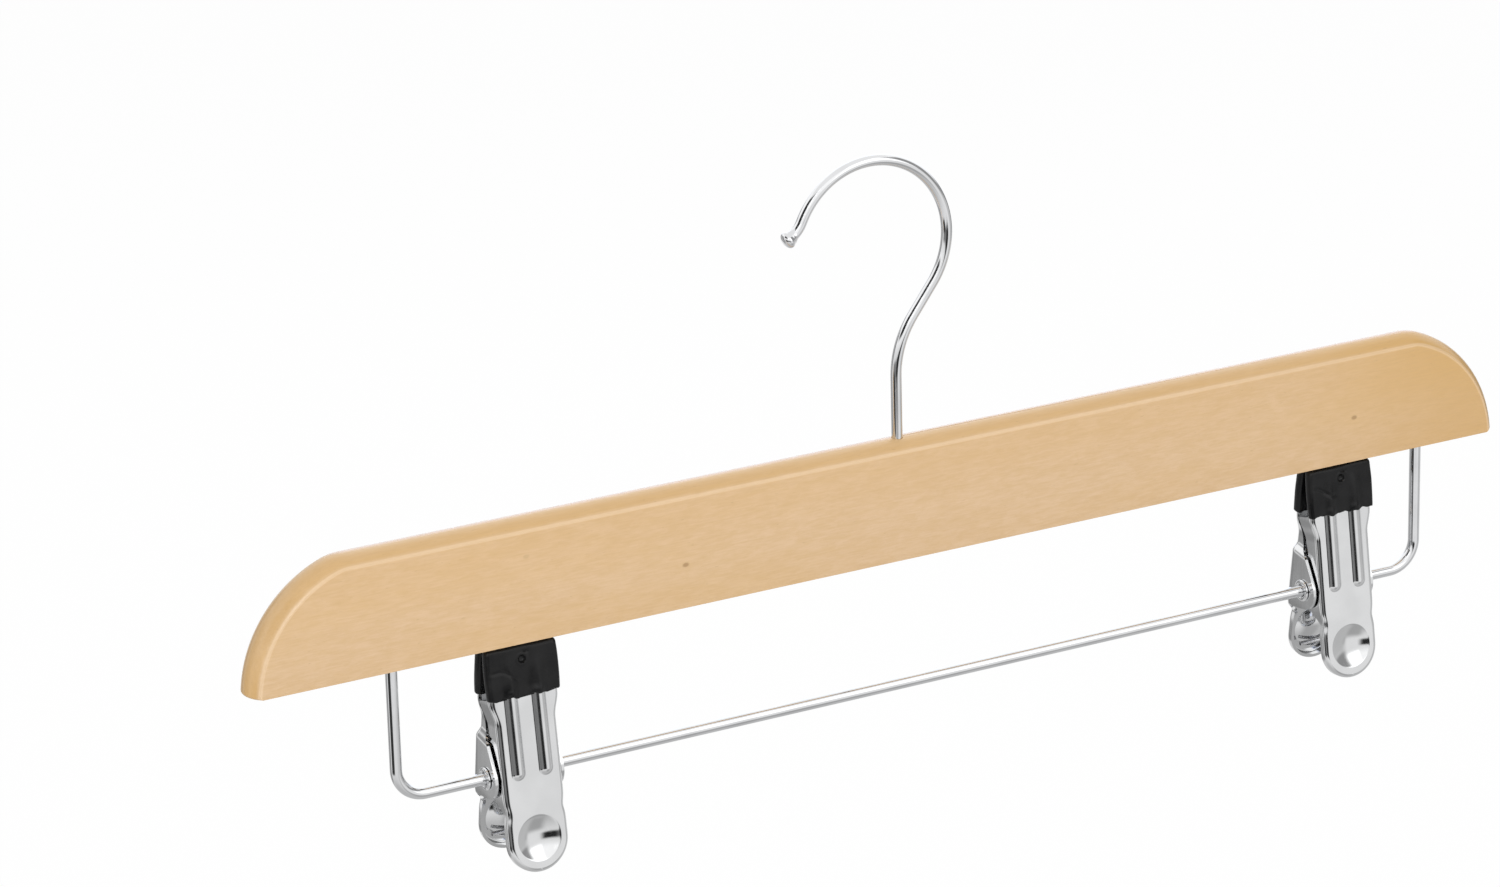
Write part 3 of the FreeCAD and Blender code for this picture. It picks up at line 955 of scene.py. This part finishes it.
def spring_paths():
    """Centrelines about the pivot: the coil, and the front leg with a short lap along the coil."""
    back_radius = dish_radius + sheet
    dish_back = plate - dish_depth + dish_radius - math.sqrt(back_radius ** 2 - (foot_drop + dish_z) ** 2)
    stand_off = dish_back - foot_gap - spring_wire / 2
    foot_y = -(stand_off * math.cos(closed_tilt) + foot_drop * math.sin(closed_tilt))
    foot_z = stand_off * math.sin(closed_tilt) - foot_drop * math.cos(closed_tilt)
    leg = math.sqrt(foot_y ** 2 + foot_z ** 2 - spring_radius ** 2)
    lean = math.atan2(-leg, -spring_radius) - math.atan2(foot_z, foot_y)
    total = math.pi * spring_half_turns - 2 * lean
    climb = coil_pitch / (2 * math.pi)

    def on_coil(angle):
        return Vector((climb * (angle - lean - total / 2), -spring_radius * math.cos(angle),
                       spring_radius * math.sin(angle)))

    steps = 220
    coil = [on_coil(lean + total * i / steps) for i in range(steps + 1)]
    direction = (on_coil(lean + 1e-4) - on_coil(lean)).normalized()
    corner = on_coil(lean) - direction * (leg / math.hypot(direction.y, direction.z))
    trim = foot_bend * math.tan(math.acos(-direction.x) / 2)
    bend_start = corner + Vector((trim, 0, 0))
    bend_end = corner + direction * trim
    path = [Vector((foot_half, corner.y, corner.z)), bend_start]
    bend_steps = 12
    for i in range(1, bend_steps):
        share = i / bend_steps
        path.append(bend_start.lerp(corner, share).lerp(corner.lerp(bend_end, share), share))
    path += [bend_end, on_coil(lean) - direction * 0.2]
    path += [on_coil(lean + math.radians(3 * i)) for i in range(13)]
    return coil, path


def build_spring(clip):
    coil_path, leg_path = spring_paths()
    coil = tube(clip + "_spring_coil", coil_path, spring_wire / 2, 20)
    move(coil, clip_place(clip))
    finish_piece(coil, clip + "_clip", "spring_steel", spring_steel, clip + "_spring")
    for side in ("front", "back"):
        leg = tube("%s_spring_%s_leg" % (clip, side), leg_path, spring_wire / 2 * lap_share, 20)
        if side == "back":
            move(leg, Matrix.Rotation(math.pi, 4, "Z"))
        move(leg, clip_place(clip))
        finish_piece(leg, "%s_%s_jaw" % (clip, side), "spring_steel", spring_steel)


build_bar()
build_hook()
build_rod()
for clip_name in ("left", "right"):
    build_pivot(clip_name)
    build_spring(clip_name)
    for jaw_side in ("front", "back"):
        build_jaw(clip_name, jaw_side)
        build_grip(clip_name, jaw_side)
frame["nodes"]["hook_washer"].data.materials.clear()
frame["nodes"]["hook_washer"].data.materials.append(washer_steel)


# Stage: the floor and the tent are measured in millimetres, the lamps and the camera in metres

floor_z = -620.0
floor_half = 6000.0
floor_white = 0.97              # the rest of the floor keeps the hanger's shadow
world_fill = 0.5
tent_radius = 1300.0
tent_middle = -110.0
tent_lowest = -90.0
tent_highest = 50.0
lamp_aim = (0, 0, -0.08)

# The photo's camera; focal_share is its focal length over the width of its picture
photo_azimuth = -28.0
photo_elevation = 19.7307
photo_roll = -1.4703
camera_distance = 1.4
aim_aside = 0.0370321
aim_raised = -0.0260141
aim_height = -0.0992021
sensor_width = 36.0
focal_share = 5625.63 / 1500

# The tent's greys at the bottom, at eye level and above, and the heights between which they change
tent_greys = (0.6, 0.92, 1.2)
tent_low_span = (-60, -15)
tent_high_span = (0, 20)
# Its patches: azimuths (0 in front, + to the right), elevations, soft edges across and up, colour
tent_patches = [((10, 50), (9, 60), (8, 8), (1.6, 1.6, 1.6)),
                ((132, 170), (-6, 26), (8, 8), (1.3, 1.42, 1.75)),
                ((-90, -6), (-18, -3), (24, 6), (0.24, 0.24, 0.24)),
                ((-32, 6), (-17, -2), (18, 5), (0.02, 0.02, 0.02)),
                ((-98, -46), (17, 49), (10, 8), (0.03, 0.03, 0.03)),
                ((-96, -50), (-27, -13), (10, 6), (0.04, 0.04, 0.04)),
                ((50, 76), (-27, -13), (12, 6), (0.06, 0.06, 0.06)),
                ((5, 60), (-56, -26), (24, 12), (0.46, 0.46, 0.46)),
                ((92, 122), (-16, 8), (12, 8), (0.2, 0.2, 0.2)),
                ((48, 92), (-2, 46), (16, 10), (0.33, 0.33, 0.33)),
                ((48, 92), (-60, -2), (20, 10), (0.6, 0.6, 0.6)),
                ((-140, -112), (-40, 20), (8, 8), (0.3, 0.3, 0.3)),
                ((192, 212), (-40, 20), (8, 8), (0.3, 0.3, 0.3))]


def light_path_share(tree):
    """1 for rays that should see the white studio: from the camera, mirrored or passed through."""
    rays = tree.nodes.new("ShaderNodeLightPath")
    both = tree.nodes.new("ShaderNodeMath")
    both.operation = "MAXIMUM"
    every = tree.nodes.new("ShaderNodeMath")
    every.operation = "MAXIMUM"
    tree.links.new(rays.outputs["Is Camera Ray"], both.inputs[0])
    tree.links.new(rays.outputs["Is Glossy Ray"], both.inputs[1])
    tree.links.new(both.outputs[0], every.inputs[0])
    tree.links.new(rays.outputs["Is Transmission Ray"], every.inputs[1])
    return every.outputs[0]


def set_world(strength):
    world = bpy.data.worlds.new("studio")
    bpy.context.scene.world = world
    world.use_nodes = True
    tree = world.node_tree
    tree.nodes.clear()
    fill = tree.nodes.new("ShaderNodeBackground")
    fill.inputs["Color"].default_value = (1, 1, 1, 1)
    fill.inputs["Strength"].default_value = strength
    white = tree.nodes.new("ShaderNodeBackground")
    white.inputs["Color"].default_value = (1, 1, 1, 1)
    white.inputs["Strength"].default_value = 1.0
    choose = tree.nodes.new("ShaderNodeMixShader")
    out = tree.nodes.new("ShaderNodeOutputWorld")
    tree.links.new(light_path_share(tree), choose.inputs[0])
    tree.links.new(fill.outputs[0], choose.inputs[1])
    tree.links.new(white.outputs[0], choose.inputs[2])
    tree.links.new(choose.outputs[0], out.inputs["Surface"])


def build_floor():
    corners = [(-floor_half, -floor_half), (floor_half, -floor_half), (floor_half, floor_half),
               (-floor_half, floor_half)]
    floor = new_object("floor", [(x, y, floor_z) for x, y in corners], [(0, 1, 2, 3)])
    material = bpy.data.materials.new("floor_white")
    material.use_nodes = True
    tree = material.node_tree
    tree.nodes.clear()
    matt = tree.nodes.new("ShaderNodeBsdfDiffuse")
    matt.inputs["Color"].default_value = (0.9, 0.9, 0.9, 1)
    white = tree.nodes.new("ShaderNodeEmission")
    white.inputs["Strength"].default_value = 1.0
    part = tree.nodes.new("ShaderNodeMath")
    part.operation = "MULTIPLY"
    part.inputs[1].default_value = floor_white
    choose = tree.nodes.new("ShaderNodeMixShader")
    out = tree.nodes.new("ShaderNodeOutputMaterial")
    tree.links.new(light_path_share(tree), part.inputs[0])
    tree.links.new(part.outputs[0], choose.inputs[0])
    tree.links.new(matt.outputs[0], choose.inputs[1])
    tree.links.new(white.outputs[0], choose.inputs[2])
    tree.links.new(choose.outputs[0], out.inputs["Surface"])
    floor.data.materials.append(material)
    floor.visible_glossy = False


def direction_to(azimuth, elevation):
    """The way to a place seen at these angles in degrees, with azimuth 0 in front."""
    across = math.cos(math.radians(elevation))
    return Vector((across * math.sin(math.radians(azimuth)), -across * math.cos(math.radians(azimuth)),
                   math.sin(math.radians(elevation))))


def tent_colour(azimuth, elevation):
    """The colour of the studio as the hanger sees it in one direction."""
    low, level, high = tent_greys
    grey = mix(low, level, smooth(*tent_low_span, elevation))
    grey = mix(grey, high, smooth(*tent_high_span, elevation))
    colour = Vector((grey, grey, grey))
    for azimuths, elevations, (soft_across, soft_up), patch in tent_patches:
        offset = (azimuth - sum(azimuths) / 2 + 180) % 360 - 180
        beside = (azimuths[1] - azimuths[0]) / 2 - abs(offset)
        above = (elevations[1] - elevations[0]) / 2 - abs(elevation - sum(elevations) / 2)
        share = smooth(-soft_across / 2, soft_across / 2, beside)
        share *= smooth(-soft_up / 2, soft_up / 2, above)
        colour = colour.lerp(Vector(patch), share)
    return colour


def build_tent():
    """A painted dome below and round the hanger that only reflections see."""
    around = 240
    rows = 80
    points = []
    shades = []
    for row in range(rows + 1):
        elevation = mix(tent_lowest, tent_highest, row / rows)
        for i in range(around):
            azimuth = 360 * i / around - 180
            points.append(direction_to(azimuth, elevation) * tent_radius + Vector((0, 0, tent_middle)))
            shades += [*tent_colour(azimuth, elevation), 1.0]
    mesh = bpy.data.meshes.new("tent")
    mesh.from_pydata([point * MM for point in points], [], rings_to_faces(rows + 1, around))
    mesh.attributes.new("shade", "FLOAT_COLOR", "POINT").data.foreach_set("color", shades)
    mesh.polygons.foreach_set("use_smooth", [True] * len(mesh.polygons))
    cloth = Shader("tent_cloth")
    paint = cloth.node("ShaderNodeAttribute", attribute_name="shade")
    glow = cloth.node("ShaderNodeEmission")
    cloth.link(paint.outputs["Color"], glow.inputs["Color"])
    cloth.link(glow.outputs[0], cloth.tree.nodes["Material Output"].inputs["Surface"])
    cloth.tree.nodes.remove(cloth.main)
    mesh.materials.append(cloth.material)
    tent = bpy.data.objects.new("tent", mesh)
    tent.visible_camera = False
    tent.visible_diffuse = False
    tent.visible_shadow = False
    tent.visible_transmission = False
    bpy.context.scene.collection.objects.link(tent)


def lamp(name, place, size, energy):
    data = bpy.data.lights.new(name, "AREA")
    data.shape = "SQUARE"
    data.size = size
    data.energy = energy
    obj = bpy.data.objects.new(name, data)
    obj.location = place
    obj.rotation_euler = (Vector(lamp_aim) - Vector(place)).to_track_quat("-Z", "Y").to_euler()
    obj.visible_camera = False
    bpy.context.scene.collection.objects.link(obj)


def set_camera():
    azimuth = math.radians(photo_azimuth)
    roll = math.radians(photo_roll)
    back = direction_to(photo_azimuth, photo_elevation)
    right = Vector((math.cos(azimuth), math.sin(azimuth), 0))
    up = back.cross(right)
    turned_right = right * math.cos(roll) + up * math.sin(roll)
    turned_up = up * math.cos(roll) - right * math.sin(roll)
    place = back * camera_distance - turned_right * aim_aside - turned_up * aim_raised
    place += Vector((0, 0, aim_height))
    data = bpy.data.cameras.new("photo")
    data.sensor_fit = "HORIZONTAL"
    data.sensor_width = sensor_width
    data.lens = focal_share * sensor_width
    camera = bpy.data.objects.new("photo", data)
    turn = Matrix((turned_right, turned_up, back)).transposed().to_4x4()
    camera.matrix_world = Matrix.Translation(place) @ turn
    bpy.context.scene.collection.objects.link(camera)
    bpy.context.scene.camera = camera


set_world(world_fill)
build_floor()
build_tent()
lamp("key", place=(-1.2, -1.5, 0.95), size=1.0, energy=22)
lamp("fill", place=(1.3, -1.3, 0.95), size=1.0, energy=8)
lamp("back", place=(0.75, 1.5, 0.9), size=1.2, energy=13)
set_camera()
bpy.context.scene.view_settings.view_transform = "Standard"
